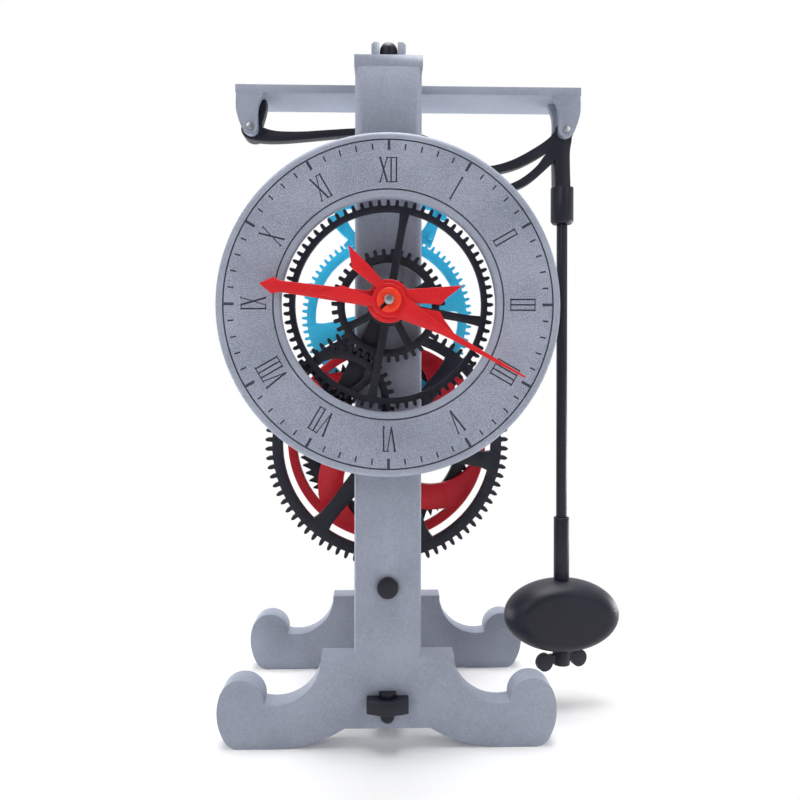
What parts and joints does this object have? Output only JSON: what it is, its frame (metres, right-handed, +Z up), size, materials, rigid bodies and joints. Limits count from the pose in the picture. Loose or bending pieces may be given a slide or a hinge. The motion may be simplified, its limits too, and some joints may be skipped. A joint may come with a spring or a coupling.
{
  "type": "geared teaching clock",
  "caption": "Free-standing open teaching clock with a ring dial, spring-driven gear train, pin-and-tooth escapement with a detent, and a side-hung pendulum.",
  "frame": {"origin": "on the floor, in the middle of the rectangle that the four soles stand on", "axes": "+X to the right of the dial, +Y from the dial to the back, +Z up"},
  "size_m": [0.1581, 0.1191, 0.2601],
  "materials": {
    "grey_plastic": "matte, finely textured",
    "black_plastic": "satin black",
    "red_plastic": "satin red",
    "crimson_plastic": "satin crimson",
    "cyan_plastic": "satin cyan",
    "orange_plastic": "satin orange",
    "steel": "ground steel rod",
    "spring_steel": "blued spring strip"
  },
  "bodies": {
    "stand": {"front_frame": "grey_plastic", "rear_frame": "grey_plastic", "top_bar": "grey_plastic", "top_screws": "black_plastic", "lower_stretcher": "black_plastic", "tusk_pins": "black_plastic", "rim_post": "black_plastic", "click_post": "black_plastic", "post_caps": "black_plastic", "dial": "grey_plastic", "dial_posts": "black_plastic", "minute_arm": "black_plastic", "minute_post": "steel", "detent_pin": "steel", "pendulum_pin": "steel", "idler_pin": "steel"},
    "centre": {"centre_arbor": "steel", "centre_pinion": "black_plastic", "centre_wheel": "cyan_plastic", "cannon_wheel": "black_plastic", "minute_hand": "red_plastic", "hand_clip": "orange_plastic"},
    "hour": {"hour_wheel": "black_plastic", "hour_hand": "red_plastic"},
    "minute": {"minute_wheel": "black_plastic", "minute_pinion": "black_plastic"},
    "great": {"great_wheel": "black_plastic", "spring_drum": "black_plastic", "mainspring": "spring_steel"},
    "winding": {"great_arbor": "steel", "winding_wheel": "crimson_plastic", "ratchet_wheel": "black_plastic"},
    "pawl": {"click": "black_plastic"},
    "idler": {"idler_pinion": "cyan_plastic"},
    "escape": {"escape_arbor": "steel", "escape_pinion": "cyan_plastic", "escape_wheel": "cyan_plastic", "escape_pins": "cyan_plastic"},
    "lock": {"detent": "black_plastic"},
    "pendulum": {"pendulum_head": "black_plastic", "pendulum_rod": "black_plastic"},
    "bob": {"bob_front": "black_plastic", "bob_back": "black_plastic", "bob_sleeve": "black_plastic"},
    "nut": {"rating_nut": "black_plastic"}
  },
  "joints": [
    {"name": "centre_spin", "type": "hinge", "parent": "stand", "child": "centre", "pos_m": [0, 0.0005, 0.1615], "axis": [0, 1, 0], "continuous": true},
    {"name": "great_spin", "type": "hinge", "parent": "stand", "child": "great", "pos_m": [0, 0.0005, 0.1065], "axis": [0, 1, 0], "continuous": true},
    {"name": "minute_wheel_spin", "type": "hinge", "parent": "stand", "child": "minute", "pos_m": [-0.01789, -0.0455, 0.12684], "axis": [0, 1, 0], "continuous": true},
    {"name": "hour_spin", "type": "hinge", "parent": "stand", "child": "hour", "pos_m": [0, -0.0535, 0.1615], "axis": [0, 1, 0], "continuous": true},
    {"name": "idler_spin", "type": "hinge", "parent": "stand", "child": "idler", "pos_m": [0.00912, 0.0265, 0.20301], "axis": [0, 1, 0], "continuous": true},
    {"name": "escape_spin", "type": "hinge", "parent": "stand", "child": "escape", "pos_m": [0, 0.0005, 0.2071], "axis": [0, 1, 0], "continuous": true},
    {"name": "winding_turn", "type": "hinge", "parent": "stand", "child": "winding", "pos_m": [0, 0.0005, 0.1065], "axis": [0, 1, 0], "continuous": true},
    {"name": "click_lift", "type": "hinge", "parent": "stand", "child": "pawl", "pos_m": [0, 0.0205, 0.0588], "axis": [0, 1, 0], "range_deg": [0, 15]},
    {"name": "detent_lift", "type": "hinge", "parent": "stand", "child": "lock", "pos_m": [-0.055, -0.0065, 0.2355], "axis": [0, -1, 0], "range_deg": [0, 8]},
    {"name": "pendulum_swing", "type": "hinge", "parent": "stand", "child": "pendulum", "pos_m": [0.072, -0.0065, 0.2355], "axis": [0, 1, 0], "range_deg": [-6, 6]},
    {"name": "nut_turn", "type": "hinge", "parent": "bob", "child": "nut", "pos_m": [0.072, -0.0064, 0.0185], "axis": [0, 0, 1], "range_deg": [-1081, 1081]},
    {"name": "bob_slide", "type": "slide", "parent": "pendulum", "child": "bob", "axis": [0, 0, 1], "range_m": [-0.003, 0.003]}
  ],
  "couplings": [
    {"joint": "great_spin", "follows": "centre_spin", "ratio": -0.1},
    {"joint": "minute_wheel_spin", "follows": "centre_spin", "ratio": -1},
    {"joint": "hour_spin", "follows": "centre_spin", "ratio": 0.083333},
    {"joint": "idler_spin", "follows": "centre_spin", "ratio": -7.5},
    {"joint": "escape_spin", "follows": "centre_spin", "ratio": 7.5},
    {"joint": "nut_turn", "follows": "bob_slide", "rad_per_m": 6283.2}
  ]
}
